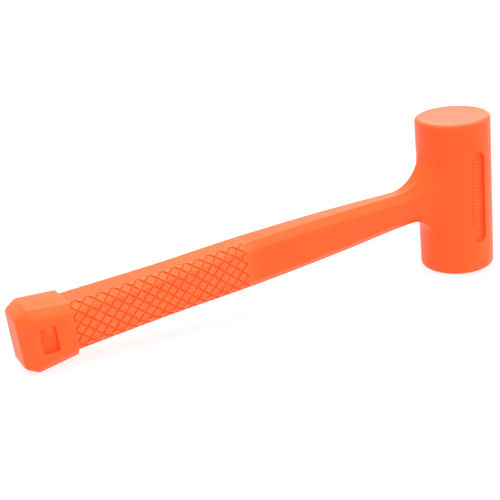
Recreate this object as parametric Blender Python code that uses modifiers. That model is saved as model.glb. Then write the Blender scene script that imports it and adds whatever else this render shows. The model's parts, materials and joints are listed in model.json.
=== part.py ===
"""Dead blow mallet: a cast urethane cover over a welded steel core that holds loose shot.

The mallet is modelled in its own axes: the middle of the head is the origin, the head stands
along Z and the handle runs out along -X. One empty then leans the whole tool back until it
rests on the rim of the head and the corner of the butt, as it lies on a bench.
"""
import math

import bmesh
import bpy
from mathutils import Vector

# ---------------------------------------------------------------- sizes, in metres
GAP = 0.0003                   # clearance between pieces that touch on the real tool

HEAD_RADIUS = 0.0250
HEAD_LENGTH = 0.1062
RIM_FILLET = 0.0023

SLOT_LENGTH = 0.0643           # shallow moulded slot in one side of the head
SLOT_WIDTH = 0.0104
SLOT_DEPTH = 0.0030

# Distances along the handle are measured from the head's axis.
NECK_TOP_SWEEP = 0.0265        # radius of the sweep between the shaft's top and the head
NECK_BOTTOM_SWEEP = 0.0155
NECK_SIDE_SWEEP = 0.0095
SHAFT_MIDDLE = 0.1050
GRIP_START = 0.1720
GRIP_WAIST = 0.2250
GRIP_END = 0.2845

# Half height and half width of the eight-sided section at those places.
NECK_SECTION = (0.0116, 0.0077)
SHAFT_SECTION = (0.0138, 0.0089)
GRIP_START_SECTION = (0.0149, 0.0102)
GRIP_WAIST_SECTION = (0.0143, 0.0112)
GRIP_END_SECTION = (0.0149, 0.0124)
SHAFT_BEVEL = (0.0049, 0.0040)

BUTT_LENGTH = 0.0311
BUTT_FRONT_SECTION = (0.0167, 0.0147)
BUTT_REAR_SECTION = (0.0199, 0.0139)
BUTT_BEVEL = (0.0058, 0.0042)
BUTT_END_STEP = (0.0047, 0.0042)
BUTT_END_CHAMFER = 0.0070      # along the handle; the long bevels set it across the end

RECESS_LENGTH = 0.0090         # blind pocket in one side of the butt block
RECESS_HEIGHT = 0.0154
RECESS_DEPTH = 0.0028
RECESS_FROM_GRIP = 0.0110      # from the block's front face to the pocket
RECESS_BELOW_MIDDLE = 0.0009

PLUG_RADIUS = 0.0062
PLUG_LENGTH = 0.0090
PLUG_RECESS = 0.0004           # the plug's face sits just under the end face

COVER_SIDE_WALL = 0.0060       # urethane round the canister
COVER_FACE_WALL = 0.0120       # urethane over each end of the canister
CANISTER_WALL = 0.0016
CAP_THICKNESS = 0.0025
CAP_INSET = 0.0018             # rim of the tube that stands past the cap
CAP_BEAD = 0.0015

ROD_RADIUS = 0.00475
ROD_TO_PLUG = 0.0006
SADDLE_THICKNESS = 0.0024
SADDLE_HEIGHT = 0.0340
SADDLE_HALF_ANGLE = math.radians(38)
SADDLE_BEAD = 0.0018
ROD_BEAD = 0.0036

SHOT_DEPTH = 0.0560            # height of the shot in the canister, on its axis

BEAD_BULGE = 0.62              # how full a weld bead's face is; 0.5 would be a flat chamfer

HEAD_STEPS = 56                # sides of the round pieces
CORE_STEPS = 32
SADDLE_STEPS = 12
SLOT_END_STEPS = 10
FINE_STEPS = 96                # sides of a face that only cuts another piece
RIM_STEPS = 5
RING_SIDE_CUTS = 3             # points along each flat of the eight-sided section
NECK_STEPS = 8
HANDLE_STEPS = 14
NECK_SINK = 0.00012            # the neck's sweep lands just under the head's surface

# ---------------------------------------------------------------- sizes that follow
HALF_HEAD = HEAD_LENGTH / 2
NECK_END = HEAD_RADIUS + NECK_TOP_SWEEP
CANISTER_RADIUS = HEAD_RADIUS - COVER_SIDE_WALL
CANISTER_BORE = CANISTER_RADIUS - CANISTER_WALL
HALF_CANISTER = HALF_HEAD - COVER_FACE_WALL
CAP_OUTER_Z = HALF_CANISTER - CAP_INSET
CAP_INNER_Z = CAP_OUTER_Z - CAP_THICKNESS
SADDLE_INNER = CANISTER_RADIUS + GAP
SADDLE_OUTER = SADDLE_INNER + SADDLE_THICKNESS
ROD_ROOT = SADDLE_OUTER + GAP
BUTT_END = GRIP_END + BUTT_LENGTH
PLUG_ROOT = BUTT_END - PLUG_RECESS - PLUG_LENGTH
ROD_TIP = PLUG_ROOT - ROD_TO_PLUG


def lean_angle():
    """Angle at which the head's lower rim and the butt's lower corner are level."""
    rim = Vector((RIM_FILLET - HEAD_RADIUS, RIM_FILLET - HALF_HEAD))
    corner = Vector((BUTT_END_CHAMFER - BUTT_END, -BUTT_REAR_SECTION[0]))
    span = rim - corner
    return math.atan2(-span.y, span.x) + math.asin(RIM_FILLET / span.length)


LEAN = lean_angle()


# ---------------------------------------------------------------- scene and materials
def clear_scene():
    for old in list(bpy.data.objects):
        bpy.data.objects.remove(old, do_unlink=True)


def new_collection(name):
    group = bpy.data.collections.new(name)
    bpy.context.scene.collection.children.link(group)
    return group


def material(name, colour, roughness, metallic=0.0):
    made = bpy.data.materials.new(name)
    made.use_nodes = True
    shader = made.node_tree.nodes["Principled BSDF"]
    shader.inputs["Base Color"].default_value = (*colour, 1.0)
    shader.inputs["Roughness"].default_value = roughness
    shader.inputs["Metallic"].default_value = metallic
    return made


clear_scene()
PARTS = new_collection("dead_blow_mallet")
CUTTERS = new_collection("cutters")
URETHANE = material("urethane", (0.95, 0.12, 0.025), 0.45)
PLUG_URETHANE = material("plug_urethane", (0.93, 0.11, 0.022), 0.50)
TUBE_STEEL = material("tube_steel", (0.42, 0.42, 0.43), 0.38, 1.0)
CAP_STEEL = material("cap_steel", (0.50, 0.50, 0.51), 0.32, 1.0)
BAR_STEEL = material("bar_steel", (0.36, 0.36, 0.37), 0.45, 1.0)
WELD_METAL = material("weld_metal", (0.25, 0.24, 0.24), 0.55, 1.0)
SHOT_STEEL = material("shot_steel", (0.30, 0.30, 0.31), 0.35, 1.0)

MALLET = bpy.data.objects.new("mallet_axes", None)
bpy.context.scene.collection.objects.link(MALLET)


# ---------------------------------------------------------------- helpers
def new_object(name, mesh, group, finish=None):
    made = bpy.data.objects.new(name, mesh)
    group.objects.link(made)
    made.parent = MALLET
    if finish:
        made.data.materials.append(finish)
    return made


def as_cutter(obj):
    obj.hide_render = True
    obj.display_type = "WIRE"
    return obj


def mesh_from(name, bm):
    bmesh.ops.recalc_face_normals(bm, faces=bm.faces)
    mesh = bpy.data.meshes.new(name)
    bm.to_mesh(mesh)
    bm.free()
    return mesh


def turned(name, profile, steps, group, finish=None):
    """A solid of revolution about Z; the profile runs from the top down its outer side."""
    mesh = bpy.data.meshes.new(name)
    edges = [(i, i + 1) for i in range(len(profile) - 1)]
    mesh.from_pydata([(r, 0.0, z) for r, z in profile], edges, [])
    made = new_object(name, mesh, group, finish)
    screw = made.modifiers.new("turn", "SCREW")
    screw.angle = math.tau
    screw.steps = steps
    screw.render_steps = steps
    screw.use_merge_vertices = True
    screw.merge_threshold = 0.00001
    screw.use_smooth_shade = True
    return made


def closed(points):
    """The outline of a turned ring, which ends on the point it starts from."""
    return list(points) + [points[0]]


def arc(centre_r, centre_z, radius, start, end, steps):
    """Points on an arc in the (r, z) plane, both ends included."""
    turn = (end - start) / steps
    return [(centre_r + radius * math.cos(start + turn * i),
             centre_z + radius * math.sin(start + turn * i)) for i in range(steps + 1)]


def boolean(target, tool, operation):
    cut = target.modifiers.new(operation.lower(), "BOOLEAN")
    cut.operation = operation
    cut.solver = "EXACT"
    cut.object = tool


def along_handle(obj, distance):
    """Lay a piece that was turned about Z along the handle, its foot at a distance."""
    obj.rotation_euler = (0.0, -math.pi / 2, 0.0)
    obj.location = (-distance, 0.0, 0.0)
    return obj


# ---------------------------------------------------------------- the cover's outside
def octagon(section, bevel):
    """Corners of an eight-sided section as (y, z), starting at the upper left."""
    half_height, half_width = section
    inner_z = half_height - bevel[0]
    inner_y = half_width - bevel[1]
    return [(-inner_y, half_height), (-half_width, inner_z),
            (-half_width, -inner_z), (-inner_y, -half_height),
            (inner_y, -half_height), (half_width, -inner_z),
            (half_width, inner_z), (inner_y, half_height)]


def with_side_cuts(corners):
    """The same outline with evenly spaced points along every side."""
    points = []
    for here, there in zip(corners, corners[1:] + corners[:1]):
        for step in range(RING_SIDE_CUTS):
            part = step / RING_SIDE_CUTS
            points.append(tuple(a + (b - a) * part for a, b in zip(here, there)))
    return points


def smooth_between(stations, distance):
    """A value that runs smoothly through a list of (distance, value) stations."""
    for i in range(len(stations) - 1):
        (x0, v0), (x1, v1) = stations[i], stations[i + 1]
        if distance <= x1 or i == len(stations) - 2:
            break
    before = stations[max(i - 1, 0)]
    after = stations[min(i + 2, len(stations) - 1)]
    start_slope = (v1 - before[1]) / (x1 - before[0])
    end_slope = (after[1] - v0) / (after[0] - x0)
    span = x1 - x0
    t = (distance - x0) / span
    return ((2 * t**3 - 3 * t**2 + 1) * v0 + (t**3 - 2 * t**2 + t) * span * start_slope
            + (3 * t**2 - 2 * t**3) * v1 + (t**3 - t**2) * span * end_slope)


ARC_WEIGHT = math.sqrt(0.5)       # makes a three-point curve with square legs a round arc
HANDLE_PLACES = (NECK_END, SHAFT_MIDDLE, GRIP_START, GRIP_WAIST, GRIP_END)
HANDLE_SECTIONS = (NECK_SECTION, SHAFT_SECTION, GRIP_START_SECTION, GRIP_WAIST_SECTION,
                   GRIP_END_SECTION)


def handle_section(distance):
    heights = [(x, section[0]) for x, section in zip(HANDLE_PLACES, HANDLE_SECTIONS)]
    widths = [(x, section[1]) for x, section in zip(HANDLE_PLACES, HANDLE_SECTIONS)]
    section = (smooth_between(heights, distance), smooth_between(widths, distance))
    return octagon(section, SHAFT_BEVEL)


def neck_sweep(z):
    """The sweep's radius at a height on the shaft's outline: large above, small below."""
    share = (z / NECK_SECTION[0]) ** 2
    climb = NECK_TOP_SWEEP if z > 0 else NECK_BOTTOM_SWEEP
    return NECK_SIDE_SWEEP * (1 - share) + climb * share


def neck_foot(y, z):
    """Where the sweep from the shaft's outline point (y, z) lands on the head."""
    half_height, half_width = NECK_SECTION
    foot_y = y + NECK_SIDE_SWEEP * y / half_width
    foot_z = z + neck_sweep(z) * z / half_height
    return Vector((-math.sqrt(HEAD_RADIUS**2 - foot_y**2), foot_y, foot_z))


def neck_point(y, z, part):
    """A point on the sweep: part 0 is on the shaft, part 1 on the head, tangent to both."""
    foot = neck_foot(y, z)
    corner = Vector((foot.x + (foot.y - y) * foot.y / foot.x, y, z))
    start = Vector((-HEAD_RADIUS - neck_sweep(z), y, z))
    weights = ((1 - part) ** 2, ARC_WEIGHT * 2 * (1 - part) * part, part**2)
    blend = weights[0] * start + weights[1] * corner + weights[2] * foot
    return blend / sum(weights)


def loft(name, rings, group, finish=None):
    """A closed skin over rings of equal point counts, with a flat face at each end.

    Points of one ring that fall together are merged, so a ring can have fewer corners.
    """
    bm = bmesh.new()
    loops = [[bm.verts.new(point) for point in ring] for ring in rings]
    for here, there in zip(loops, loops[1:]):
        for i in range(len(here)):
            j = (i + 1) % len(here)
            bm.faces.new((here[i], here[j], there[j], there[i]))
    bm.faces.new(loops[0])
    bm.faces.new(list(reversed(loops[-1])))
    bmesh.ops.remove_doubles(bm, verts=bm.verts, dist=0.000001)
    return new_object(name, mesh_from(name, bm), group, finish)


def build_head():
    rim = math.pi / 2
    profile = [(0.0, HALF_HEAD)]
    inner = HEAD_RADIUS - RIM_FILLET
    profile += arc(inner, HALF_HEAD - RIM_FILLET, RIM_FILLET, rim, 0.0, RIM_STEPS)
    profile += arc(inner, RIM_FILLET - HALF_HEAD, RIM_FILLET, 0.0, -rim, RIM_STEPS)
    profile.append((0.0, -HALF_HEAD))
    return turned("moulded_cover", profile, HEAD_STEPS, PARTS, URETHANE)


def build_handle():
    """Neck, shaft and grip in one loft that starts inside the head and ends in the butt."""
    neck_outline = with_side_cuts(handle_section(NECK_END))
    feet = [neck_foot(y, z) for y, z in neck_outline]
    rings = [[(-HEAD_RADIUS / 2, foot.y * 0.88, foot.z * 0.88) for foot in feet]]
    for step in range(NECK_STEPS, -1, -1):
        part = step / NECK_STEPS
        sink = Vector((NECK_SINK * part, 0, 0))
        rings.append([neck_point(y, z, part) + sink for y, z in neck_outline])
    span = GRIP_END - NECK_END
    places = [NECK_END + span * step / HANDLE_STEPS for step in range(1, HANDLE_STEPS + 1)]
    for distance in places:
        outline = with_side_cuts(handle_section(distance))
        rings.append([(-distance, y, z) for y, z in outline])
    rings.append([(-GRIP_END - BUTT_LENGTH / 4, y, z) for y, z in outline])
    return loft("handle_loft", rings, CUTTERS)


def build_butt():
    """The butt block: a tapering box with every edge of its free end chamfered."""
    front = octagon(BUTT_FRONT_SECTION, BUTT_BEVEL)
    rear = octagon(BUTT_REAR_SECTION, BUTT_BEVEL)
    end_z = BUTT_REAR_SECTION[0] - BUTT_END_STEP[0]
    end_y = BUTT_REAR_SECTION[1] - BUTT_END_STEP[1]
    rings = [[(-GRIP_END, y, z) for y, z in front],
             [(BUTT_END_CHAMFER - BUTT_END, y, z) for y, z in rear],
             [(-BUTT_END, math.copysign(end_y, y), math.copysign(end_z, z)) for y, z in rear]]
    return loft("butt_block", rings, CUTTERS)


# ---------------------------------------------------------------- cutters for the cover
def rod_bead_shoulder():
    """The free side of the weld at the rod's root, from the rod out to the saddle."""
    inner = ROD_RADIUS + GAP
    face = SADDLE_OUTER + GAP
    bulge = ROD_BEAD * BEAD_BULGE
    return [(inner, face + ROD_BEAD), (inner + bulge, face + bulge), (inner + ROD_BEAD, face)]


def build_slot_cutter():
    """A round-ended bar that leaves a flat-bottomed slot in the head's -Y side."""
    radius = SLOT_WIDTH / 2
    straight = SLOT_LENGTH / 2 - radius
    outline = arc(0, straight, radius, 0, math.pi, SLOT_END_STEPS)
    outline += arc(0, -straight, radius, math.pi, math.tau, SLOT_END_STEPS)
    floor = SLOT_DEPTH - HEAD_RADIUS
    rings = [[(x, floor - depth, z) for x, z in outline] for depth in (0.0, 2 * SLOT_DEPTH)]
    return as_cutter(loft("slot_cutter", rings, CUTTERS))


def build_recess_cutter():
    """A box sunk into the butt block's -Y side, half of it in the urethane."""
    bm = bmesh.new()
    bmesh.ops.create_cube(bm, size=1.0)
    cutter = new_object("recess_cutter", mesh_from("recess_cutter", bm), CUTTERS)
    cutter.scale = (RECESS_LENGTH, 2 * RECESS_DEPTH, RECESS_HEIGHT)
    cutter.location = (-(GRIP_END + RECESS_FROM_GRIP + RECESS_LENGTH / 2),
                       -BUTT_REAR_SECTION[1], -RECESS_BELOW_MIDDLE)
    return as_cutter(cutter)


def canister_cavity():
    """The room that the closed canister takes in the cover."""
    boss = CANISTER_BORE - CAP_BEAD - 2 * GAP
    dish = CAP_OUTER_Z + GAP
    end = HALF_CANISTER + GAP
    side = CANISTER_RADIUS + GAP
    profile = [(0.0, dish), (boss, dish), (boss, end), (side, end),
               (side, -end), (boss, -end), (boss, -dish), (0.0, -dish)]
    return as_cutter(turned("canister_cavity", profile, CORE_STEPS, CUTTERS))


def rod_cavity():
    """The bore for the rod, its root weld and the plug, open at the butt's end."""
    bore = ROD_RADIUS + GAP
    plug = PLUG_RADIUS + GAP
    foot = SADDLE_OUTER * math.cos(SADDLE_HALF_ANGLE)
    shoulder = [(r + 2 * GAP, x + 2 * GAP) for r, x in rod_bead_shoulder()]
    profile = [(0.0, BUTT_END + PLUG_LENGTH), (plug, BUTT_END + PLUG_LENGTH),
               (plug, PLUG_ROOT - GAP), (bore, PLUG_ROOT - GAP), (bore, shoulder[0][1]),
               *shoulder[1:], (shoulder[-1][0], foot), (0.0, foot)]
    return as_cutter(along_handle(turned("rod_cavity", profile, CORE_STEPS, CUTTERS), 0.0))


# ---------------------------------------------------------------- the steel core
def build_canister_tube():
    profile = closed([(CANISTER_BORE, -HALF_CANISTER), (CANISTER_BORE, HALF_CANISTER),
                            (CANISTER_RADIUS, HALF_CANISTER),
                            (CANISTER_RADIUS, -HALF_CANISTER)])
    return turned("canister_tube", profile, CORE_STEPS, PARTS, TUBE_STEEL)


def build_cap(name, side):
    edge = CANISTER_BORE - GAP
    soft = CAP_THICKNESS / 5
    profile = [(0.0, CAP_OUTER_Z), (edge, CAP_OUTER_Z), (edge, CAP_INNER_Z + soft),
               (edge - soft, CAP_INNER_Z), (0.0, CAP_INNER_Z)]
    cap = turned(name, profile, CORE_STEPS, PARTS, CAP_STEEL)
    cap.rotation_euler = (0.0 if side > 0 else math.pi, 0.0, 0.0)
    return cap


def build_cap_weld(name, side):
    """A bead in the corner between the cap and the rim of the tube."""
    wall = CANISTER_BORE - GAP
    foot = CAP_OUTER_Z + GAP
    bulge = CAP_BEAD * BEAD_BULGE
    profile = closed([(wall - CAP_BEAD, foot), (wall - bulge, foot + bulge),
                            (wall, foot + CAP_BEAD - GAP), (wall, foot)])
    bead = turned(name, profile, CORE_STEPS, PARTS, WELD_METAL)
    bead.rotation_euler = (0.0 if side > 0 else math.pi, 0.0, 0.0)
    return bead


def sector(name, inner, outer, half_height, half_angle, group, finish=None):
    """A curved plate round the head's axis, on the side where the handle is."""
    rings = []
    for step in range(SADDLE_STEPS + 1):
        angle = half_angle * (2 * step / SADDLE_STEPS - 1)
        ray = Vector((-math.cos(angle), math.sin(angle), 0.0))
        rings.append([ray * radius + Vector((0, 0, z))
                      for radius, z in ((inner, half_height), (outer, half_height),
                                        (outer, -half_height), (inner, -half_height))])
    return loft(name, rings, group, finish)


def build_saddle():
    return sector("rod_saddle", SADDLE_INNER, SADDLE_OUTER, SADDLE_HEIGHT / 2,
                  SADDLE_HALF_ANGLE, PARTS, BAR_STEEL)


def build_saddle_weld(name, side):
    """A three-sided bead along one upright edge of the saddle."""
    reach = SADDLE_BEAD / SADDLE_INNER
    start = SADDLE_HALF_ANGLE + GAP / SADDLE_INNER
    places = [(SADDLE_INNER, start),
              (SADDLE_INNER + SADDLE_BEAD, start),
              (SADDLE_INNER + SADDLE_BEAD * BEAD_BULGE, start + reach * BEAD_BULGE),
              (SADDLE_INNER, start + reach)]
    outline = [(-radius * math.cos(angle), side * radius * math.sin(angle))
               for radius, angle in places]
    rings = [[(x, y, z) for x, y in outline] for z in (SADDLE_HEIGHT / 2, -SADDLE_HEIGHT / 2)]
    return loft(name, rings, PARTS, WELD_METAL)


def saddle_cavity():
    """The room that the saddle and its two beads take in the cover."""
    half_angle = SADDLE_HALF_ANGLE + (SADDLE_BEAD + 2 * GAP) / SADDLE_INNER
    return as_cutter(sector("saddle_cavity", SADDLE_INNER - 4 * GAP, SADDLE_OUTER + GAP,
                            SADDLE_HEIGHT / 2 + GAP, half_angle, CUTTERS))


def build_rod():
    length = ROD_TIP - ROD_ROOT
    soft = ROD_RADIUS / 6
    profile = [(0.0, length), (ROD_RADIUS - soft, length), (ROD_RADIUS, length - soft),
               (ROD_RADIUS, 0.0), (0.0, 0.0)]
    return along_handle(turned("handle_rod", profile, CORE_STEPS, PARTS, BAR_STEEL), ROD_ROOT)


def build_rod_weld():
    """A fillet weld round the rod's root; the saddle's curve is cut out of its foot."""
    foot = SADDLE_OUTER * math.cos(SADDLE_HALF_ANGLE)
    shoulder = rod_bead_shoulder()
    profile = closed([(shoulder[0][0], foot), *shoulder, (shoulder[-1][0], foot)])
    bead = along_handle(turned("rod_weld", profile, CORE_STEPS, PARTS, WELD_METAL), 0.0)
    face = SADDLE_OUTER + GAP
    curve = [(0.0, SADDLE_HEIGHT), (face, SADDLE_HEIGHT), (face, -SADDLE_HEIGHT),
             (0.0, -SADDLE_HEIGHT)]
    boolean(bead, as_cutter(turned("saddle_face", curve, FINE_STEPS, CUTTERS)), "DIFFERENCE")
    return bead


def build_plug():
    soft = PLUG_RADIUS / 8
    profile = [(0.0, PLUG_LENGTH), (PLUG_RADIUS - soft, PLUG_LENGTH),
               (PLUG_RADIUS, PLUG_LENGTH - soft), (PLUG_RADIUS, 0.0), (0.0, 0.0)]
    plug = turned("butt_plug", profile, CORE_STEPS, PARTS, PLUG_URETHANE)
    return along_handle(plug, PLUG_ROOT)


def build_shot():
    """The shot at rest on the lower cap; its top lies level while the mallet leans."""
    radius = CANISTER_BORE - 2 * GAP
    floor = -CAP_INNER_Z + GAP
    bm = bmesh.new()
    bmesh.ops.create_cone(bm, cap_ends=True, segments=CORE_STEPS, radius1=radius,
                          radius2=radius, depth=SHOT_DEPTH)
    for vert in bm.verts:
        if vert.co.z > 0:
            vert.co.z -= vert.co.x * math.tan(LEAN)
    shot = new_object("shot_charge", mesh_from("shot_charge", bm), PARTS, SHOT_STEEL)
    shot.location = (0.0, 0.0, floor + SHOT_DEPTH / 2)
    return shot


# ---------------------------------------------------------------- assembly
def build_cover():
    cover = build_head()
    boolean(cover, as_cutter(build_handle()), "UNION")
    boolean(cover, as_cutter(build_butt()), "UNION")
    for cutter in (canister_cavity(), saddle_cavity(), rod_cavity(), build_slot_cutter(),
                   build_recess_cutter()):
        boolean(cover, cutter, "DIFFERENCE")
    return cover


def build_core():
    build_canister_tube()
    for label, side in (("upper", 1), ("lower", -1)):
        build_cap(f"canister_cap_{label}", side)
        build_cap_weld(f"cap_weld_{label}", side)
    build_saddle()
    for label, side in (("left", -1), ("right", 1)):
        build_saddle_weld(f"saddle_weld_{label}", side)
    build_rod()
    build_rod_weld()
    build_plug()
    build_shot()


def lay_down(cover):
    """Lean the mallet back and put the middle of its footprint on the origin."""
    MALLET.rotation_euler = (0.0, -LEAN, 0.0)
    bpy.context.view_layer.update()
    seen = cover.evaluated_get(bpy.context.evaluated_depsgraph_get())
    points = [seen.matrix_world @ vert.co for vert in seen.data.vertices]
    low = Vector([min(point[axis] for point in points) for axis in range(3)])
    high = Vector([max(point[axis] for point in points) for axis in range(3)])
    MALLET.location = (-(low.x + high.x) / 2, -(low.y + high.y) / 2, -low.z)
    bpy.context.view_layer.update()


lay_down(build_cover())
build_core()
bpy.context.view_layer.update()
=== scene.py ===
# %% [markdown]
# # A dead blow mallet, one moulding over a steel core
# The tool is a single orange urethane casting: a round head with two flat faces, a slim
# eight-sided shaft, a grip cut with a diamond pattern and a square butt block. A welded steel
# canister of loose shot is sealed inside the head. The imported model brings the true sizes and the
# moving bodies, so it is loaded first and everything that is made later is laid over it.

import json
import math

import bmesh
import bpy
from mathutils import Matrix, Vector


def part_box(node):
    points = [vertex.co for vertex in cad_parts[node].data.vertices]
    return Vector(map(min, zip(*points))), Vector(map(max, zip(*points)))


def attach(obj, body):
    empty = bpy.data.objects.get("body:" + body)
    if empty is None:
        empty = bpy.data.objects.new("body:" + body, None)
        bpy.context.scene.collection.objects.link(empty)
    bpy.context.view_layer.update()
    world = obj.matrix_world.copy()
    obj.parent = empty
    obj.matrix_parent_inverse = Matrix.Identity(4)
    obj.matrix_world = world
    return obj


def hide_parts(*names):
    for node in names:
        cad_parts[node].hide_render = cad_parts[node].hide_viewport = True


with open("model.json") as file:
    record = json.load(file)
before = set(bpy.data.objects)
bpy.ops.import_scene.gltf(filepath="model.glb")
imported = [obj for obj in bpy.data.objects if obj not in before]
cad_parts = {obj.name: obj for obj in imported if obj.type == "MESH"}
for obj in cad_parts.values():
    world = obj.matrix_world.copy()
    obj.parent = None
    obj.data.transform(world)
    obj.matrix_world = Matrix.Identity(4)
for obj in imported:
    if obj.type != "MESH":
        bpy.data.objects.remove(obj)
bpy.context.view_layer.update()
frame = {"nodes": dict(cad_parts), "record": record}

# %% [markdown]
# ## The mallet's own axes
# The tool leans back on the rim of its head and the corner of its butt, which makes it awkward to
# model where it lies. It is easier to model it upright, with the middle of the head at the origin,
# the head along Z and the handle along -X, and to lay each finished piece down in one move. The two
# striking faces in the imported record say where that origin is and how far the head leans.

# %% Find the head's centre and the lean
MOUNTS = {mount["name"]: mount for mount in frame["record"]["mounts"]}
UPPER_FACE = Vector(MOUNTS["upper_face"]["pos_m"])
LOWER_FACE = Vector(MOUNTS["lower_face"]["pos_m"])
HEAD_UP = (UPPER_FACE - LOWER_FACE).normalized()
HEAD_CENTRE = (UPPER_FACE + LOWER_FACE) / 2
HEAD_LENGTH = (UPPER_FACE - LOWER_FACE).length
HEAD_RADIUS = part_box("moulded_cover")[1].y

ACROSS = Vector((0.0, 1.0, 0.0))
ALONG = ACROSS.cross(HEAD_UP)
LAY_DOWN = Matrix((ALONG, ACROSS, HEAD_UP)).transposed().to_4x4()
LAY_DOWN.translation = HEAD_CENTRE
BUTT_END = -(LAY_DOWN.inverted() @ Vector(MOUNTS["butt_end"]["pos_m"])).x
print(f"head {HEAD_LENGTH * 1000:.1f} mm long, {HEAD_RADIUS * 2000:.1f} mm across, "
      f"leaning {math.degrees(math.asin(ALONG.z)):.2f} degrees")

# %% [markdown]
# ## Camera
# The view is from the butt's side, a little above the bench, with a long lens so that the head
# and the butt keep nearly the same scale. The camera is made before anything else, so that every
# later step can be judged through it.

# %% Set up the camera
CAMERA_TURN = math.radians(-29.81)
CAMERA_RISE = math.radians(19.59)
CAMERA_ROLL = math.radians(-0.91)
CAMERA_FROM_HEAD = Vector((-0.4460, -0.4938, 0.1898))
CAMERA_LENS = 70.71
CAMERA_SENSOR = 36.0

bpy.ops.object.select_all(action="DESELECT")
bpy.ops.object.camera_add(location=HEAD_CENTRE + CAMERA_FROM_HEAD)
camera = bpy.context.object
camera.rotation_mode = "QUATERNION"
turn = Matrix.Rotation(CAMERA_TURN, 3, "Z")
rise = Matrix.Rotation(math.pi / 2 - CAMERA_RISE, 3, "X")
roll = Matrix.Rotation(CAMERA_ROLL, 3, "Z")
camera.rotation_quaternion = (turn @ rise @ roll).to_quaternion()
camera.data.sensor_width = CAMERA_SENSOR
camera.data.lens = CAMERA_LENS
camera.data.clip_end = 50.0
bpy.context.scene.camera = camera
print("camera at", [round(value, 3) for value in camera.location])

# %% [markdown]
# ## Studio
# Product photographs of bright plastic use a white sweep and big soft lamps, so that no edge gets
# a hard shadow and every rim picks up a thin pale reflection. An even white sky, a soft light
# overhead, a weaker one in front and a softbox at the back give that. The floor is a wide sheet of
# white film lit from below. The colours are shown without a film curve, because a film curve would
# dull the orange.

# %% Floor, sky and lamps
bpy.context.scene.view_settings.view_transform = "Standard"

sky = bpy.data.worlds.new("white_sky")
sky.use_nodes = True
sky.node_tree.nodes["Background"].inputs["Color"].default_value = (1.0, 0.995, 0.99, 1.0)
sky.node_tree.nodes["Background"].inputs["Strength"].default_value = 1.0
bpy.context.scene.world = sky


def add_lamp(kind, name, place, size, power):
    """A soft lamp that faces the tool. A sun's size is an angle, a square lamp's a length."""
    bpy.ops.object.light_add(type=kind, location=place)
    lamp = bpy.context.object
    lamp.name = name
    lamp.rotation_euler = (-Vector(place)).to_track_quat("-Z", "Y").to_euler()
    lamp.data.energy = power
    if kind == "SUN":
        lamp.data.angle = math.radians(size)
    else:
        lamp.data.shape = "SQUARE"
        lamp.data.size = size
        lamp.visible_camera = False
    return lamp


add_lamp("SUN", "overhead_light", (0.20, 0.06, 1.40), 60.0, 3.1)
add_lamp("SUN", "front_light", (0.75, -1.20, 0.55), 70.0, 0.40)
add_lamp("AREA", "back_softbox", (1.75, 1.45, 1.00), 1.7, 9.0)

bpy.ops.object.select_all(action="DESELECT")
bpy.ops.mesh.primitive_plane_add(size=60.0, location=(0.0, 0.0, -0.0001))
floor = bpy.context.object
floor.name = "studio_floor"
print("studio ready")

# %% [markdown]
# ## Reusable surface effects
# A moulding is never one flat colour. Each effect is made once as a node group that puts out a
# mask or a height, and the materials take them with values of their own. All of them read the
# object's own coordinates, so the pattern stays put when the tool moves.

# %% Helper that starts a node group
def new_group(name, inputs, outputs):
    """A node group with float inputs (name, default) and outputs (name, socket type)."""
    group = bpy.data.node_groups.new(name, "ShaderNodeTree")
    for label, default in inputs:
        socket = group.interface.new_socket(name=label, in_out="INPUT",
                                            socket_type="NodeSocketFloat")
        socket.default_value = default
    for label, kind in outputs:
        group.interface.new_socket(name=label, in_out="OUTPUT", socket_type=kind)
    nodes = group.nodes
    return group, nodes.new("NodeGroupInput"), nodes.new("NodeGroupOutput")


def add_math(tree, operation, first, second=None):
    """A Math node fed by sockets or plain numbers; gives back its output."""
    node = tree.nodes.new("ShaderNodeMath")
    node.operation = operation
    for slot, value in enumerate((first, second)):
        if value is None:
            continue
        if isinstance(value, (int, float)):
            node.inputs[slot].default_value = value
        else:
            tree.links.new(value, node.inputs[slot])
    return node.outputs[0]


def add_noise(tree, scale, detail, stretch=(1.0, 1.0, 1.0)):
    """Noise on the object's own coordinates, drawn out along the axes by a stretch."""
    place = tree.nodes.new("ShaderNodeTexCoord")
    mapping = tree.nodes.new("ShaderNodeMapping")
    mapping.inputs["Scale"].default_value = stretch
    noise = tree.nodes.new("ShaderNodeTexNoise")
    noise.inputs["Detail"].default_value = detail
    tree.links.new(place.outputs["Object"], mapping.inputs["Vector"])
    tree.links.new(mapping.outputs["Vector"], noise.inputs["Vector"])
    if isinstance(scale, (int, float)):
        noise.inputs["Scale"].default_value = scale
    else:
        tree.links.new(scale, noise.inputs["Scale"])
    return noise.outputs["Fac"]


# %% Group: the fine skin that a mould leaves
MOULD_SKIN, skin_in, skin_out = new_group(
    "mould_skin", [("Grain Scale", 1400.0), ("Ripple Scale", 60.0), ("Ripple Share", 0.5)],
    [("Height", "NodeSocketFloat")])
grain = add_noise(MOULD_SKIN, skin_in.outputs["Grain Scale"], 2.0)
ripple = add_noise(MOULD_SKIN, skin_in.outputs["Ripple Scale"], 1.0, (0.35, 1.0, 1.0))
ripple = add_math(MOULD_SKIN, "MULTIPLY", ripple, skin_in.outputs["Ripple Share"])
MOULD_SKIN.links.new(add_math(MOULD_SKIN, "ADD", grain, ripple), skin_out.inputs["Height"])

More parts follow.
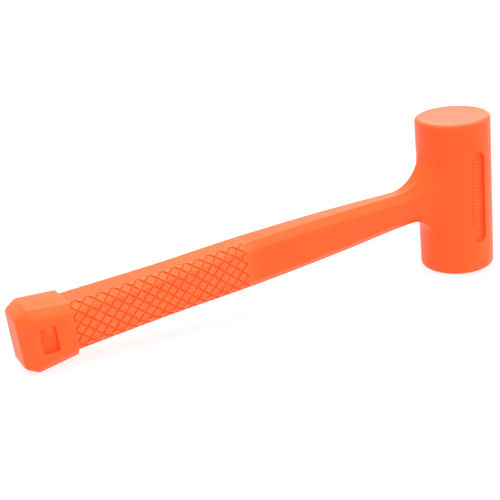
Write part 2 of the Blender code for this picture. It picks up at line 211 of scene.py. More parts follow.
# %% Group: slow changes of shade through a casting
POUR_SHADE, shade_in, shade_out = new_group(
    "pour_shade", [("Scale", 14.0), ("Strength", 0.5)], [("Mask", "NodeSocketFloat")])
cloud = add_noise(POUR_SHADE, shade_in.outputs["Scale"], 3.0, (0.5, 1.0, 1.0))
cloud = add_math(POUR_SHADE, "SUBTRACT", cloud, 0.5)
cloud = add_math(POUR_SHADE, "MULTIPLY", cloud, shade_in.outputs["Strength"])
POUR_SHADE.links.new(add_math(POUR_SHADE, "ADD", cloud, 0.5), shade_out.inputs["Mask"])

# %% Group: a painted highlight along convex edges
PAINTED_EDGE_HIGHLIGHT, highlight_in, highlight_out = new_group(
    "painted_edge_highlight", [("Start", 0.505), ("Width", 0.05), ("Breakup Scale", 220.0)],
    [("Mask", "NodeSocketFloat")])
# Painted highlight: convex edges, found by Pointiness and broken up by noise, are made paler in
# colour to stand in for the sheen of the studio light.
shape = PAINTED_EDGE_HIGHLIGHT.nodes.new("ShaderNodeNewGeometry")
sharp = add_math(PAINTED_EDGE_HIGHLIGHT, "SUBTRACT", shape.outputs["Pointiness"], highlight_in.outputs["Start"])
sharp = add_math(PAINTED_EDGE_HIGHLIGHT, "DIVIDE", sharp, highlight_in.outputs["Width"])
patchy = add_noise(PAINTED_EDGE_HIGHLIGHT, highlight_in.outputs["Breakup Scale"], 3.0)
painted_highlight = PAINTED_EDGE_HIGHLIGHT.nodes.new("ShaderNodeMath")
painted_highlight.operation = "MULTIPLY"
painted_highlight.use_clamp = True
PAINTED_EDGE_HIGHLIGHT.links.new(sharp, painted_highlight.inputs[0])
PAINTED_EDGE_HIGHLIGHT.links.new(patchy, painted_highlight.inputs[1])
PAINTED_EDGE_HIGHLIGHT.links.new(painted_highlight.outputs[0], highlight_out.inputs["Mask"])

# %% Group: handling marks that change the gloss
HANDLING, hand_in, hand_out = new_group(
    "handling_marks", [("Scale", 45.0), ("Low", 0.34), ("High", 0.46)],
    [("Roughness", "NodeSocketFloat")])
smear = add_noise(HANDLING, hand_in.outputs["Scale"], 5.0, (0.4, 1.0, 1.0))
span = add_math(HANDLING, "SUBTRACT", hand_in.outputs["High"], hand_in.outputs["Low"])
smear = add_math(HANDLING, "MULTIPLY", smear, span)
HANDLING.links.new(add_math(HANDLING, "ADD", smear, hand_in.outputs["Low"]),
                   hand_out.inputs["Roughness"])
print("node groups:", sorted(group.name for group in bpy.data.node_groups))

# %% [markdown]
# ## Materials
# Cast urethane is a strong, slightly waxy orange. Its gloss is satin and it is a little deeper
# where the casting is thick. Its convex edges are painted a paler orange, a painted highlight that
# stands in for the sheen of the studio light. The steel of the core is plain tube, bar and weld:
# never seen on a sound tool, but finished so that a cutaway looks right.

# %% Helpers for materials
def start_material(name, roughness, metallic=0.0, specular=0.5):
    """A material whose even values sit on the shader's own sockets."""
    made = bpy.data.materials.new(name)
    made.use_nodes = True
    shader = made.node_tree.nodes["Principled BSDF"]
    shader.inputs["Roughness"].default_value = roughness
    shader.inputs["Metallic"].default_value = metallic
    shader.inputs["Specular IOR Level"].default_value = specular
    return made, made.node_tree, shader


def use_group(tree, group, **values):
    """Place a node group; underscores in a value's name stand for spaces."""
    node = tree.nodes.new("ShaderNodeGroup")
    node.node_tree = group
    for label, value in values.items():
        node.inputs[label.replace("_", " ")].default_value = value
    return node


def mix_colour(tree, mask, first, second):
    """Blend two colours, each a plain colour or a socket, by a mask."""
    node = tree.nodes.new("ShaderNodeMix")
    node.data_type = "RGBA"
    tree.links.new(mask, node.inputs["Factor"])
    for socket, value in ((node.inputs[6], first), (node.inputs[7], second)):
        if isinstance(value, tuple):
            socket.default_value = (*value, 1.0)
        else:
            tree.links.new(value, socket)
    return node.outputs[2]


def add_bump(tree, shader, height, strength, distance):
    bump = tree.nodes.new("ShaderNodeBump")
    bump.inputs["Strength"].default_value = strength
    bump.inputs["Distance"].default_value = distance
    tree.links.new(height, bump.inputs["Height"])
    tree.links.new(bump.outputs["Normal"], shader.inputs["Normal"])


# %% The urethane of the cover and of its plug
def urethane(name, deep, pale, highlight_colour, low, high):
    made, tree, shader = start_material(name, roughness=0.4, specular=0.32)
    shade = use_group(tree, POUR_SHADE, Scale=16.0, Strength=1.2)
    # Painted highlight: convex edges are blended towards a paler orange.
    edge = use_group(tree, PAINTED_EDGE_HIGHLIGHT)
    body = mix_colour(tree, shade.outputs["Mask"], deep, pale)
    colour = mix_colour(tree, edge.outputs["Mask"], body, highlight_colour)
    tree.links.new(colour, shader.inputs["Base Color"])
    gloss = use_group(tree, HANDLING, Low=low, High=high)
    tree.links.new(gloss.outputs["Roughness"], shader.inputs["Roughness"])
    skin = use_group(tree, MOULD_SKIN)
    add_bump(tree, shader, skin.outputs["Height"], 0.12, 0.0002)
    return made


# The third colour of each is the paler orange of the painted edge highlight.
COVER_ORANGE = urethane("cast_urethane", (0.95, 0.086, 0.005), (1.0, 0.112, 0.010),
                        (1.0, 0.155, 0.036), 0.32, 0.46)
PLUG_ORANGE = urethane("plug_urethane", (0.95, 0.085, 0.005), (1.0, 0.111, 0.010),
                       (1.0, 0.150, 0.034), 0.34, 0.48)


# %% The steels of the core
def steel(name, dark, light, roughness, stretch, grain_scale, bump):
    """Bare steel with a drawn or rolled grain; the stretch says which way it runs."""
    made, tree, shader = start_material(name, roughness=roughness, metallic=1.0)
    grain = add_noise(tree, grain_scale, 6.0, stretch)
    tree.links.new(mix_colour(tree, grain, dark, light), shader.inputs["Base Color"])
    gloss = use_group(tree, HANDLING, Scale=30.0, Low=roughness - 0.08, High=roughness + 0.12)
    tree.links.new(gloss.outputs["Roughness"], shader.inputs["Roughness"])
    add_bump(tree, shader, grain, bump, 0.0001)
    return made


TUBE_STEEL = steel("drawn_tube_steel", (0.40, 0.40, 0.42), (0.62, 0.62, 0.63), 0.36,
                   (1.0, 1.0, 0.05), 900.0, 0.25)
CAP_STEEL = steel("pressed_cap_steel", (0.45, 0.45, 0.46), (0.66, 0.66, 0.67), 0.32,
                  (1.0, 1.0, 1.0), 500.0, 0.15)
BAR_STEEL = steel("rolled_bar_steel", (0.24, 0.24, 0.26), (0.48, 0.47, 0.47), 0.48,
                  (0.06, 1.0, 1.0), 700.0, 0.35)
WELD_METAL = steel("weld_metal", (0.16, 0.14, 0.13), (0.44, 0.42, 0.42), 0.55,
                   (1.0, 1.0, 1.0), 380.0, 0.9)
SHOT_STEEL = steel("shot_steel", (0.25, 0.25, 0.26), (0.50, 0.50, 0.51), 0.34,
                   (1.0, 1.0, 1.0), 260.0, 0.5)

# %% The studio floor: white film lit from below, so that a shadow on it stays faint
FLOOR_PAPER, paper_tree, paper_shader = start_material("backlit_film", roughness=0.9, specular=0.1)
paper_noise = add_noise(paper_tree, 18.0, 4.0)
paper_tree.links.new(mix_colour(paper_tree, paper_noise, (0.13, 0.13, 0.13), (0.15, 0.15, 0.15)),
                     paper_shader.inputs["Base Color"])
paper_shader.inputs["Emission Color"].default_value = (1.0, 1.0, 1.0, 1.0)
paper_shader.inputs["Emission Strength"].default_value = 0.84
floor.data.materials.append(FLOOR_PAPER)
print("materials:", len(bpy.data.materials))

# %% [markdown]
# ## Ways of working
# Every piece is made with the same few moves: a primitive, a shaping step in edit mode, modifiers
# that are applied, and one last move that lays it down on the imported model. Two of the moves come
# back often: turning an outline on a lathe, and wrapping a flat sheet round the handle.

# %% Selection and finishing helpers
def start_fresh():
    """Leave edit mode and clear the selection, so an operator acts only on the new piece."""
    if bpy.context.object and bpy.context.object.mode != "OBJECT":
        bpy.ops.object.mode_set(mode="OBJECT")
    bpy.ops.object.select_all(action="DESELECT")


def edit(obj):
    start_fresh()
    obj.select_set(True)
    bpy.context.view_layer.objects.active = obj
    bpy.ops.object.mode_set(mode="EDIT")


def apply_boolean(obj, tool, operation):
    """Cut or join with a second solid, which is then thrown away."""
    start_fresh()
    bpy.context.view_layer.objects.active = obj
    modifier = obj.modifiers.new(operation.lower(), "BOOLEAN")
    modifier.operation = operation
    modifier.solver = "EXACT"
    modifier.object = tool
    bpy.ops.object.modifier_apply(modifier=modifier.name)
    bpy.data.objects.remove(tool)


def close_and_turn_outwards(obj):
    """Merge doubles, close open ends and point every face outwards."""
    edit(obj)
    bpy.ops.mesh.select_all(action="SELECT")
    bpy.ops.mesh.remove_doubles(threshold=0.000002)
    bpy.ops.mesh.fill_holes(sides=0)
    bpy.ops.mesh.select_all(action="SELECT")
    bpy.ops.mesh.normals_make_consistent(inside=False)
    bpy.ops.object.mode_set(mode="OBJECT")


def smooth(obj, angle):
    """Smooth shading, except across edges that turn by more than an angle in degrees."""
    start_fresh()
    obj.select_set(True)
    bpy.context.view_layer.objects.active = obj
    bpy.ops.object.shade_smooth_by_angle(angle=math.radians(angle))


def lay_down(obj, material, slot, *replaced):
    """Move a finished piece from the mallet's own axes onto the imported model."""
    start_fresh()
    obj.select_set(True)
    bpy.context.view_layer.objects.active = obj
    obj.matrix_world = LAY_DOWN
    bpy.ops.object.transform_apply(location=True, rotation=True, scale=True)
    obj.data.materials.clear()
    obj.data.materials.append(material)
    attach(obj, "mallet")
    if replaced:
        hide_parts(*replaced)
    print(f"{obj.name}: {len(obj.data.polygons)} faces")


# %% Lathe: an outline drawn point by point and spun
def lathe(name, outline, steps):
    """Spin an outline of (radius, height) points about Z into a closed solid."""
    start_fresh()
    bpy.ops.mesh.primitive_plane_add(size=0.001)
    turned = bpy.context.object
    turned.name = name
    bpy.ops.object.mode_set(mode="EDIT")
    bpy.ops.mesh.select_mode(type="VERT")
    bpy.ops.mesh.select_all(action="SELECT")
    bpy.ops.mesh.merge(type="CENTER")
    bpy.ops.transform.translate(value=(outline[0][0], 0.0, outline[0][1]))
    for (r0, z0), (r1, z1) in zip(outline, outline[1:]):
        bpy.ops.mesh.extrude_vertices_move(
            TRANSFORM_OT_translate={"value": (r1 - r0, 0.0, z1 - z0)})
    bpy.ops.mesh.select_all(action="SELECT")
    bpy.ops.mesh.spin(steps=steps, angle=math.tau, center=(0, 0, 0), axis=(0, 0, 1))
    close_and_turn_outwards(turned)
    return turned


# %% Sheet: a flat grid whose points are laid where a function says
def wrapped_sheet(name, rows, around, place):
    """Wrap a grid round an axis. place(row, step) gives a point for each row and each
    step of the way round; the first and last step meet and are merged."""
    start_fresh()
    bpy.ops.mesh.primitive_grid_add(x_subdivisions=rows, y_subdivisions=around, size=2.0)
    sheet = bpy.context.object
    sheet.name = name
    for vertex in sheet.data.vertices:
        row = round((vertex.co.x + 1.0) / 2.0 * rows)
        step = round((vertex.co.y + 1.0) / 2.0 * around) % around
        vertex.co = place(row, step)
    close_and_turn_outwards(sheet)
    return sheet


def arc(centre_r, centre_z, radius, start, end, steps):
    """Points on an arc, both ends included; angles in degrees."""
    angles = [math.radians(start + (end - start) * i / steps) for i in range(steps + 1)]
    return [(centre_r + radius * math.cos(a), centre_z + radius * math.sin(a)) for a in angles]


# %% [markdown]
# ## The head
# The head is a plain round bar of urethane with a softly rounded rim at each end and a faint
# shallow dish in each striking face, where the casting shrank. A lathe gives all of that from one
# outline. Extra rows down the side keep the faces small, which keeps the shading clean where the
# neck is joined on.

# %% Turn the head
RIM_FILLET = 0.0024
DISH_RADIUS = 0.0206
DISH_EDGE = 0.0006                     # half width of the slope at the dish's rim
DISH_DEPTH = 0.00012
HEAD_STEPS = 160
HEAD_ROWS = 44

half = HEAD_LENGTH / 2
upper = [(0.0, half - DISH_DEPTH), (DISH_RADIUS * 0.5, half - DISH_DEPTH),
         (DISH_RADIUS - DISH_EDGE, half - DISH_DEPTH), (DISH_RADIUS, half - DISH_DEPTH * 0.5),
         (DISH_RADIUS + DISH_EDGE, half)]
upper += arc(HEAD_RADIUS - RIM_FILLET, half - RIM_FILLET, RIM_FILLET, 90, 0, 8)
side_top = half - RIM_FILLET
side_rows = [(HEAD_RADIUS, side_top * (1 - 2 * i / HEAD_ROWS)) for i in range(1, HEAD_ROWS)]
lower = [(r, -z) for r, z in reversed(upper)]
head = lathe("head_and_shaft", upper + side_rows + lower, HEAD_STEPS)
print("head turned:", len(head.data.polygons), "faces")

# %% [markdown]
# ## The neck and the shaft
# The shaft is eight-sided: a flat top and bottom, flat sides and four bevels. Where it meets the
# head each line of the section sweeps out in a curve of its own, wide above, tighter below and
# tightest at the sides, so the bevels run up onto the head and fade away. A sheet wrapped round the
# handle follows that exactly: each row is one section, and the last rows climb the head.

# %% Sizes of the handle
NECK_TOP_SWEEP = 0.0265
NECK_BOTTOM_SWEEP = 0.0155
NECK_SIDE_SWEEP = 0.0095
NECK_END = HEAD_RADIUS + NECK_TOP_SWEEP
NECK_SINK = 0.00005
GRIP_START = 0.1715
GRIP_END = 0.2845
# distance from the head's axis, half height and half width of the section
SECTIONS = ((NECK_END, 0.0116, 0.0077), (0.1050, 0.0138, 0.0089), (0.1720, 0.0149, 0.0102),
            (0.2250, 0.0143, 0.0112), (GRIP_END, 0.0149, 0.0124))
BEVEL_HEIGHT = 0.0049
BEVEL_WIDTH = 0.0040
TOP_SOFTNESS = 0.0014
SIDE_SOFTNESS = 0.0006
CORNER_STEPS = 4
FLAT_STEPS = 6
RING = 8 * (CORNER_STEPS + FLAT_STEPS)


def smooth_through(stations, distance):
    """A value that runs smoothly through (distance, value) stations."""
    last = len(stations) - 2
    i = next((k for k in range(last) if distance <= stations[k + 1][0]), last)
    (x0, v0), (x1, v1) = stations[i], stations[i + 1]
    before, after = stations[max(i - 1, 0)], stations[min(i + 2, last + 1)]
    leave = (v1 - before[1]) / (x1 - before[0]) * (x1 - x0)
    arrive = (after[1] - v0) / (after[0] - x0) * (x1 - x0)
    t = (distance - x0) / (x1 - x0)
    return ((2 * t**3 - 3 * t**2 + 1) * v0 + (t**3 - 2 * t**2 + t) * leave
            + (3 * t**2 - 2 * t**3) * v1 + (t**3 - t**2) * arrive)


def section_size(distance):
    """Half height and half width of the handle at a distance from the head's axis."""
    return (smooth_through([(x, height) for x, height, _ in SECTIONS], distance),
            smooth_through([(x, width) for x, _, width in SECTIONS], distance))


def corner_curve(before, corner, after, reach, share):
    """A point on the soft curve that rounds a corner, reaching the same way each side."""
    start = corner + (before - corner).normalized() * reach
    end = corner + (after - corner).normalized() * reach
    return start * (1 - share) ** 2 + corner * 2 * share * (1 - share) + end * share**2


def section_outline(half_height, half_width):
    """The soft-cornered eight-sided outline as RING points (y, z)."""
    flat_y, flat_z = half_width - BEVEL_WIDTH, half_height - BEVEL_HEIGHT
    corners = [Vector(c) for c in (
        (-flat_y, half_height), (-half_width, flat_z), (-half_width, -flat_z),
        (-flat_y, -half_height), (flat_y, -half_height), (half_width, -flat_z),
        (half_width, flat_z), (flat_y, half_height))]
    points = []
    for i, corner in enumerate(corners):
        before, after = corners[i - 1], corners[(i + 1) % 8]
        reach = TOP_SOFTNESS if abs(corner.y) == half_height else SIDE_SOFTNESS
        for step in range(CORNER_STEPS + 1):
            points.append(corner_curve(before, corner, after, reach, step / CORNER_STEPS))
        far_reach = TOP_SOFTNESS if abs(after.y) == half_height else SIDE_SOFTNESS
        landing = after + (corner - after).normalized() * far_reach
        leaving = points[-1]
        for step in range(1, FLAT_STEPS):
            points.append(leaving.lerp(landing, step / FLAT_STEPS))
    return points


print("section has", len(section_outline(0.0116, 0.0077)), "points; RING is", RING)


# %% The neck's sweeps
NECK_OUTLINE = section_outline(*section_size(NECK_END))
NECK_HEIGHT, NECK_WIDTH = section_size(NECK_END)


def neck_sweep(z):
    share = (z / NECK_HEIGHT) ** 2
    climb = NECK_TOP_SWEEP if z > 0 else NECK_BOTTOM_SWEEP
    return NECK_SIDE_SWEEP * (1 - share) + climb * share


def neck_foot(y, z):
    """Where the sweep from a point of the shaft's outline lands on the head."""
    foot_y = y + NECK_SIDE_SWEEP * y / NECK_WIDTH
    foot_z = z + neck_sweep(z) * z / NECK_HEIGHT
    return Vector((-math.sqrt(HEAD_RADIUS**2 - foot_y**2), foot_y, foot_z))


def neck_point(y, z, part):
    """A point on the sweep, from 0 on the shaft to 1 on the head, tangent to both."""
    foot = neck_foot(y, z)
    corner = Vector((foot.x + (foot.y - y) * foot.y / foot.x, y, z))
    start = Vector((-HEAD_RADIUS - neck_sweep(z), y, z))
    pull = math.sqrt(2) * (1 - part) * part
    blend = start * (1 - part) ** 2 + corner * pull + foot * part**2
    blend /= (1 - part) ** 2 + pull + part**2
    return blend + Vector((NECK_SINK * part, 0.0, 0.0))


# %% Wrap the neck and the shaft, and join them to the head
NECK_ROWS = 30
SHAFT_ROWS = 26
TUCK = 0.0015            # the shaft runs on inside the grip, drawn in by the same amount
ROOT_SHRINK = 0.88       # the sheet's hidden first row, inside the head
STEP_IN = 0.00002        # along the handle, where the shaft draws in


def shaft_place(row, step):
    y, z = NECK_OUTLINE[step]
    if row == 0:
        foot = neck_foot(y, z)
        return Vector((-HEAD_RADIUS / 2, foot.y * ROOT_SHRINK, foot.z * ROOT_SHRINK))
    if row <= NECK_ROWS + 1:
        return neck_point(y, z, 1 - (row - 1) / NECK_ROWS)
    share = (row - NECK_ROWS - 1) / SHAFT_ROWS
    distance = NECK_END + (GRIP_START - NECK_END) * min(share, 1.0)
    height, width = section_size(distance)
    if share > 1.0:
        height, width = height - TUCK, width - TUCK
        distance += STEP_IN if row == NECK_ROWS + SHAFT_ROWS + 2 else TUCK
    y, z = section_outline(height, width)[step]
    return Vector((-distance, y, z))


shaft = wrapped_sheet("shaft", NECK_ROWS + SHAFT_ROWS + 3, RING, shaft_place)
apply_boolean(head, shaft, "UNION")
print("head and shaft joined:", len(head.data.polygons), "faces")

# %% [markdown]
# ## The slot in the head
# The side of the head has a long round-ended slot. It is cut with a shaped tool whose rim flares
# out, so the cut leaves a small rounded lip at the surface and a soft corner at the floor. The same
# tool, with squarer corners, cuts the pocket in the butt block. Each row of the tool is the slot's
# outline, a little wider or narrower, laid deeper and deeper into the surface.

# %% A cutter with a flared rim
def rounded_outline(half_width, half_length, corner, steps):
    """A rectangle with round corners, as 4 * steps points in the XZ plane."""
    points = []
    for quarter, (x, z) in enumerate(((1, 1), (-1, 1), (-1, -1), (1, -1))):
        centre = (x * (half_width - corner), z * (half_length - corner))
        points += arc(*centre, corner, 90 * quarter, 90 * quarter + 90, steps - 1)
    return points


def flared_cutter(name, half_width, half_length, corner, lip, fillet, surface, floor_y):
    """A solid that cuts a pocket in the -Y side. surface(x) is the skin's y there."""
    rows = [(lip + 0.0004, "skin", -0.0020), (lip, "skin", -0.00003)]
    for angle in (20, 40, 60, 90):
        a = math.radians(angle)
        rows.append((lip * (1 - math.sin(a)), "skin", lip * (1 - math.cos(a))))
    for angle in (0, 30, 60, 90):
        a = math.radians(angle)
        rows.append((-fillet * (1 - math.cos(a)), "floor", -fillet * (1 - math.sin(a))))
    steps = 14

    def place(row, step):
        outset, kind, depth = rows[row]
        outline = rounded_outline(half_width + outset, half_length + outset,
                                  corner + outset, steps)
        x, z = outline[step]
        base = surface(x) if kind == "skin" else floor_y
        return Vector((x, base + depth, z))

    return wrapped_sheet(name, len(rows) - 1, 4 * steps, place)


# %% Cut the slot
SLOT_WIDTH = 0.0104
SLOT_LENGTH = 0.0643
SLOT_DEPTH = 0.0030
slot_floor = SLOT_DEPTH - HEAD_RADIUS
slot_tool = flared_cutter("slot_tool", SLOT_WIDTH / 2, SLOT_LENGTH / 2, SLOT_WIDTH / 2 - 0.0001,
                          0.0005, 0.0005, lambda x: -math.sqrt(HEAD_RADIUS**2 - x * x),
                          slot_floor)
apply_boolean(head, slot_tool, "DIFFERENCE")
close_and_turn_outwards(head)
smooth(head, 32)
lay_down(head, COVER_ORANGE, "urethane", "moulded_cover")

# %% [markdown]
# The slot's floor is not bare: moulded marks stand on it. Here they are a plain row of small
# raised bars, each the same, which give the same broken texture without saying anything.

# %% Raised bars on the slot's floor
BAR_COUNT = 19
BAR_PITCH = 0.0025
BAR_SIZE = (0.0052, 0.0009, 0.0011)
BAR_SOFTNESS = 0.00022
BAR_ASIDE = 0.0006                     # the row stands a little to one side of the slot
BAR_RISE = 0.0030                      # and a little above its middle

start_fresh()
bpy.ops.mesh.primitive_cube_add(size=1.0, location=(-BAR_ASIDE, slot_floor, 0.0))
bar = bpy.context.object
bar.name = "slot_bars"
bar.scale = BAR_SIZE
bpy.ops.object.transform_apply(location=True, rotation=True, scale=True)
edit(bar)
bpy.ops.mesh.select_all(action="SELECT")
bpy.ops.mesh.bevel(offset=BAR_SOFTNESS, segments=2, affect="EDGES")
bpy.ops.transform.translate(value=(0.0, 0.0, BAR_RISE - BAR_PITCH * (BAR_COUNT - 1) / 2))
for _ in range(BAR_COUNT - 1):
    bpy.ops.mesh.duplicate_move(TRANSFORM_OT_translate={"value": (0.0, 0.0, BAR_PITCH)})
bpy.ops.object.mode_set(mode="OBJECT")
smooth(bar, 40)
lay_down(bar, COVER_ORANGE, "urethane", "moulded_cover")

# %% [markdown]
# ## The grip
# The grip is covered on both sides with raised diamonds. They are cut by two sets of narrow
# grooves that cross, and they cover the side and both bevels, while the top and the bottom stay
# smooth. The pattern is drawn flat first: a square grid turned by 45 degrees and stretched gives
# the diamonds, three insets give each its groove floor, its wall and its soft edge, and the sheet
# is trimmed to the grip's outline. Only then is it folded onto the handle, where each groove sinks
# in square to the face it crosses.

# %% Draw the diamonds flat
DIAMOND_LENGTH = 0.00779
DIAMOND_HEIGHT = 0.00714
PATTERN_AT = (0.2342, 0.0025)          # a place where two grooves cross
GROOVE_DEPTH = 0.00070
GROOVE_FLOOR = 0.00030                 # half width of the groove's flat floor
GROOVE_WALL = 0.00050                  # how far out its wall ends
GROOVE_EDGE = 0.00068                  # how far out the diamond's flat top begins
GRID_CELLS = 24
GRIP_OVERRUN = 0.0010                  # the grip runs on inside the butt block
SIDE_HALF = 0.0096                     # half height of the flat side on the flat drawing
EDGE_AT = SIDE_HALF + math.hypot(BEVEL_HEIGHT, BEVEL_WIDTH)      # where the bevel ends
TURN_IN = 0.0008                       # strip of the top and bottom that the sheet reaches
PLAIN_HALF = 0.0050                    # a row of corners here keeps the smooth top truly plain
RIM_LEVEL = 0.0135                     # the sheet's open edges lie above this and below -this
GROOVE_LIP = 0.18                      # share of the depth that is left where the wall ends

start_fresh()
bpy.ops.mesh.primitive_grid_add(x_subdivisions=GRID_CELLS, y_subdivisions=GRID_CELLS,
                                size=GRID_CELLS * math.sqrt(0.5))
grip = bpy.context.object
grip.name = "diamond_grip"
edit(grip)
bpy.ops.mesh.select_all(action="SELECT")
bpy.ops.transform.rotate(value=math.radians(45), orient_axis="Z", center_override=(0, 0, 0))
bpy.ops.transform.resize(value=(DIAMOND_LENGTH, DIAMOND_HEIGHT, 1.0),
                         center_override=(0, 0, 0))
bpy.ops.transform.translate(value=(*PATTERN_AT, 0.0))
bpy.ops.mesh.select_mode(type="FACE")
bpy.ops.mesh.select_all(action="SELECT")
reached = 0.0
for width in (GROOVE_FLOOR, GROOVE_WALL, GROOVE_EDGE):
    bpy.ops.mesh.inset(thickness=width - reached, use_individual=True, use_even_offset=True)
    reached = width


def trim(place, normal, clear_outer=False, clear_inner=False):
    bpy.ops.mesh.select_all(action="SELECT")
    bpy.ops.mesh.bisect(plane_co=place, plane_no=normal, clear_outer=clear_outer,
                        clear_inner=clear_inner)


trim((GRIP_START, 0, 0), (1, 0, 0), clear_inner=True)
trim((GRIP_END + GRIP_OVERRUN, 0, 0), (1, 0, 0), clear_outer=True)
trim((0, EDGE_AT + TURN_IN, 0), (0, 1, 0), clear_outer=True)
trim((0, -EDGE_AT - TURN_IN, 0), (0, 1, 0), clear_inner=True)
for edge, softness in ((SIDE_HALF, SIDE_SOFTNESS), (EDGE_AT, TURN_IN)):
    for share in (-1.0, -0.5, 0.0, 0.5, 1.0):
        if edge + softness * share < EDGE_AT + TURN_IN:
            trim((0, edge + softness * share, 0), (0, 1, 0))
            trim((0, -edge - softness * share, 0), (0, 1, 0))
bpy.ops.object.mode_set(mode="OBJECT")
print("flat pattern:", len(grip.data.polygons), "faces")


# %% Fold the drawing onto the handle
GROOVE_PITCH = 1 / math.hypot(1 / DIAMOND_LENGTH, 1 / DIAMOND_HEIGHT)


def groove_depth(along, up):
    """How deep the pattern is cut at a point of the flat drawing."""
    a = (along - PATTERN_AT[0]) / DIAMOND_LENGTH
    b = (up - PATTERN_AT[1]) / DIAMOND_HEIGHT
    nearest = min(abs(a + b - round(a + b)), abs(a - b - round(a - b))) * GROOVE_PITCH
    if nearest <= GROOVE_FLOOR:
        return GROOVE_DEPTH
    if nearest <= GROOVE_WALL:
        share = (nearest - GROOVE_FLOOR) / (GROOVE_WALL - GROOVE_FLOOR)
        return GROOVE_DEPTH * (1 - (1 - GROOVE_LIP) * share)
    share = min((nearest - GROOVE_WALL) / (GROOVE_EDGE - GROOVE_WALL), 1.0)
    return GROOVE_DEPTH * GROOVE_LIP * (1 - share)


def fold(along, up):
    """Where a point of the flat drawing lies on the -Y side of the handle's section."""
    half_height, half_width = section_size(along)
    side_z = half_height - BEVEL_HEIGHT
    flat_y = half_width - BEVEL_WIDTH
    corners = [Vector((-half_width, 0.0)), Vector((-half_width, side_z)),
               Vector((-flat_y, half_height)), Vector((0.0, half_height))]
    high = abs(up)
    if abs(high - SIDE_HALF) < SIDE_SOFTNESS:
        share = (high - SIDE_HALF + SIDE_SOFTNESS) / (2 * SIDE_SOFTNESS)
        y, z = corner_curve(*corners[:3], SIDE_SOFTNESS, share)
    elif high < SIDE_HALF:
        y, z = -half_width, high / (SIDE_HALF - SIDE_SOFTNESS) * (side_z - SIDE_SOFTNESS)
    elif high > EDGE_AT - TURN_IN:
        share = (high - EDGE_AT + TURN_IN) / (2 * TURN_IN)
        y, z = corner_curve(*corners[1:], TURN_IN, share)
    else:
        slope = (corners[2] - corners[1]).normalized()
        first = corners[1] + slope * SIDE_SOFTNESS
        last = corners[2] - slope * TURN_IN
        share = high - SIDE_HALF - SIDE_SOFTNESS
        share /= EDGE_AT - TURN_IN - SIDE_HALF - SIDE_SOFTNESS
        y, z = first.lerp(last, share)
    inward = Vector((1.0, 0.0))
    if high > SIDE_HALF + SIDE_SOFTNESS:
        inward = Vector((BEVEL_HEIGHT, -BEVEL_WIDTH)).normalized()
    fade = min(1.0, (EDGE_AT + TURN_IN - high) / TURN_IN)
    sunk = Vector((y, z)) + inward * groove_depth(along, up) * fade
    return Vector((-along, sunk.x, math.copysign(sunk.y, up)))


for vertex in grip.data.vertices:
    vertex.co = fold(vertex.co.x, vertex.co.y)


# %% Mirror it to the far side, and close the top, the bottom and the ends
start_fresh()
grip.select_set(True)
bpy.context.view_layer.objects.active = grip
mirror = grip.modifiers.new("far_side", "MIRROR")
mirror.use_axis = (False, True, False)
mirror.use_mirror_merge = False
bpy.ops.object.modifier_apply(modifier=mirror.name)


def select_rim(obj, keep):
    """Select the open edges whose two ends both pass a test."""
    edit(obj)
    bpy.ops.mesh.select_mode(type="EDGE")
    bpy.ops.mesh.select_all(action="DESELECT")
    mesh = bmesh.from_edit_mesh(obj.data)
    for side in mesh.edges:
        side.select_set(side.is_boundary and all(keep(corner.co) for corner in side.verts))
    bmesh.update_edit_mesh(obj.data)


ends = (-GRIP_START, -GRIP_END - GRIP_OVERRUN)
for side in (1, -1):
    select_rim(grip, lambda point: point.z * side > RIM_LEVEL)
    edit_mesh = bmesh.from_edit_mesh(grip.data)
    for rim_edge in edit_mesh.edges:
        if all(abs(v.co.x - rim_edge.verts[0].co.x) < 1e-6 for v in rim_edge.verts) and any(
                abs(rim_edge.verts[0].co.x - end) < 1e-6 for end in ends):
            rim_edge.select_set(False)
    bmesh.update_edit_mesh(grip.data)
    bpy.ops.mesh.bridge_edge_loops()
bpy.ops.mesh.select_mode(type="FACE")
for place in (-PLAIN_HALF, PLAIN_HALF):
    trim((0, place, 0), (0, 1, 0))
close_and_turn_outwards(grip)
smooth(grip, 24)
lay_down(grip, COVER_ORANGE, "urethane", "moulded_cover")

# %% [markdown]
# ## The butt block
# The handle ends in a square block that stops the hand from slipping off. It is an eight-sided
# box that grows a little towards its end, and every edge of the end is chamfered, down to small
# three-cornered facets. A grid wrapped into an eight-sided tube gives it: its last row draws in to
# a rectangle, and a bevel then softens every edge.

# %% Shape the block
# each pair is a height and a width; the two sections are half sizes
BUTT_FRONT = (0.0167, 0.0147)
BUTT_REAR = (0.0199, 0.0139)
BUTT_BEVEL = (0.0058, 0.0042)
BUTT_END_STEP = (0.0047, 0.0042)       # how much smaller the end face is than the rear section
BUTT_CHAMFER = 0.0070                  # along the handle
BLOCK_SOFTNESS = 0.0013                # how far the bevel reaches from each edge


def plain_octagon(half_height, half_width, bevel_height, bevel_width):
    y, z = half_width - bevel_width, half_height - bevel_height
    return [(-y, half_height), (-half_width, z), (-half_width, -z), (-y, -half_height),
            (y, -half_height), (half_width, -z), (half_width, z), (y, half_height)]


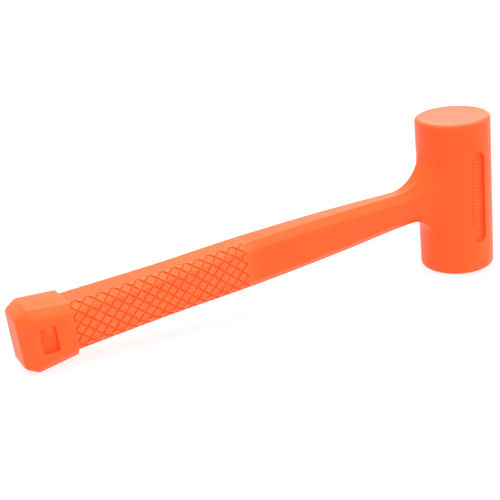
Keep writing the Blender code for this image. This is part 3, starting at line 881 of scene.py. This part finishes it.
BLOCK_ROWS = [[(-GRIP_END, y, z) for y, z in plain_octagon(*BUTT_FRONT, *BUTT_BEVEL)],
              [(BUTT_CHAMFER - BUTT_END, y, z) for y, z in plain_octagon(*BUTT_REAR, *BUTT_BEVEL)]]
end_y, end_z = BUTT_REAR[1] - BUTT_END_STEP[1], BUTT_REAR[0] - BUTT_END_STEP[0]
BLOCK_ROWS.append([(-BUTT_END, math.copysign(end_y, y), math.copysign(end_z, z))
                   for _, y, z in BLOCK_ROWS[1]])
block = wrapped_sheet("butt_block", 2, 8, lambda row, step: Vector(BLOCK_ROWS[row][step]))
edit(block)
bpy.ops.mesh.select_all(action="SELECT")
bpy.ops.mesh.bevel(offset=BLOCK_SOFTNESS, segments=4, affect="EDGES")
bpy.ops.object.mode_set(mode="OBJECT")
print("block bevelled:", len(block.data.polygons), "faces")

# %% [markdown]
# One side of the block has a shallow pocket, and the end has a bore that is closed with a small
# round plug where the steel rod was held in the mould. The pocket uses the flared cutter again; the
# bore's cutter and the plug are turned on the lathe.

# %% Cut the pocket and the plug's bore
POCKET_LENGTH = 0.0090
POCKET_HEIGHT = 0.0154
POCKET_FROM_GRIP = 0.0110
POCKET_BELOW_MIDDLE = 0.0009
POCKET_DEPTH = 0.0028
BORE_DEPTH = 0.0060
BORE_OVERRUN = 0.0020                  # the cutter stands this far out of the end face
PLUG_RADIUS = 0.0062
PLUG_GAP = 0.00004                     # cast in and trimmed flush, so only a hairline shows
BORE_STEPS = 64

pocket_x = GRIP_END + POCKET_FROM_GRIP + POCKET_LENGTH / 2
block_length = BUTT_END - BUTT_CHAMFER - GRIP_END


def block_side(x):
    """The block's side as the cutter sees it, before the cutter is moved into place."""
    share = (pocket_x - x - GRIP_END) / block_length
    return -(BUTT_FRONT[1] + (BUTT_REAR[1] - BUTT_FRONT[1]) * share)


pocket_tool = flared_cutter("pocket_tool", POCKET_LENGTH / 2, POCKET_HEIGHT / 2, 0.0007,
                            0.0004, 0.0004, block_side, POCKET_DEPTH - BUTT_REAR[1])
pocket_tool.location = (-pocket_x, 0.0, -POCKET_BELOW_MIDDLE)
apply_boolean(block, pocket_tool, "DIFFERENCE")


def lay_along_handle(obj, distance):
    """Turn a lathed piece to lie along the handle, its foot at a distance."""
    start_fresh()
    obj.select_set(True)
    bpy.context.view_layer.objects.active = obj
    obj.rotation_euler = (0.0, -math.pi / 2, 0.0)
    obj.location = (-distance, 0.0, 0.0)
    bpy.ops.object.transform_apply(location=True, rotation=True, scale=True)


bore = PLUG_RADIUS + PLUG_GAP
bore_top = BORE_DEPTH + BORE_OVERRUN
bore_outline = [(0.0, bore_top), (bore, bore_top), (bore, 0.0), (0.0, 0.0)]
bore_tool = lathe("bore_tool", bore_outline, BORE_STEPS)
lay_along_handle(bore_tool, BUTT_END - BORE_DEPTH)
apply_boolean(block, bore_tool, "DIFFERENCE")
close_and_turn_outwards(block)
smooth(block, 35)
lay_down(block, COVER_ORANGE, "urethane", "moulded_cover")

# %% Turn the plug
PLUG_RECESS = 0.00003
PLUG_LENGTH = 0.0058
PLUG_EDGE = 0.0001
plug_outline = [(0.0, PLUG_LENGTH), (PLUG_RADIUS - PLUG_EDGE, PLUG_LENGTH),
                (PLUG_RADIUS, PLUG_LENGTH - PLUG_EDGE), (PLUG_RADIUS, 0.0), (0.0, 0.0)]
plug = lathe("end_plug", plug_outline, BORE_STEPS)
lay_along_handle(plug, BUTT_END - PLUG_RECESS - PLUG_LENGTH)
smooth(plug, 35)
lay_down(plug, PLUG_ORANGE, "plug_urethane", "butt_plug")

# %% [markdown]
# ## The steel core
# The canister, its caps and welds, the saddle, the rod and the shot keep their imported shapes,
# because those are already right. Each only gets the steel that suits it.

# %% Give the core its steels
CORE = {"canister_tube": TUBE_STEEL, "canister_cap_upper": CAP_STEEL,
        "canister_cap_lower": CAP_STEEL, "cap_weld_upper": WELD_METAL,
        "cap_weld_lower": WELD_METAL, "rod_saddle": BAR_STEEL, "saddle_weld_left": WELD_METAL,
        "saddle_weld_right": WELD_METAL, "handle_rod": BAR_STEEL, "rod_weld": WELD_METAL,
        "shot_charge": SHOT_STEEL}
for node, finish in CORE.items():
    frame["nodes"][node].material_slots[0].material = finish
print("core pieces:", len(CORE))
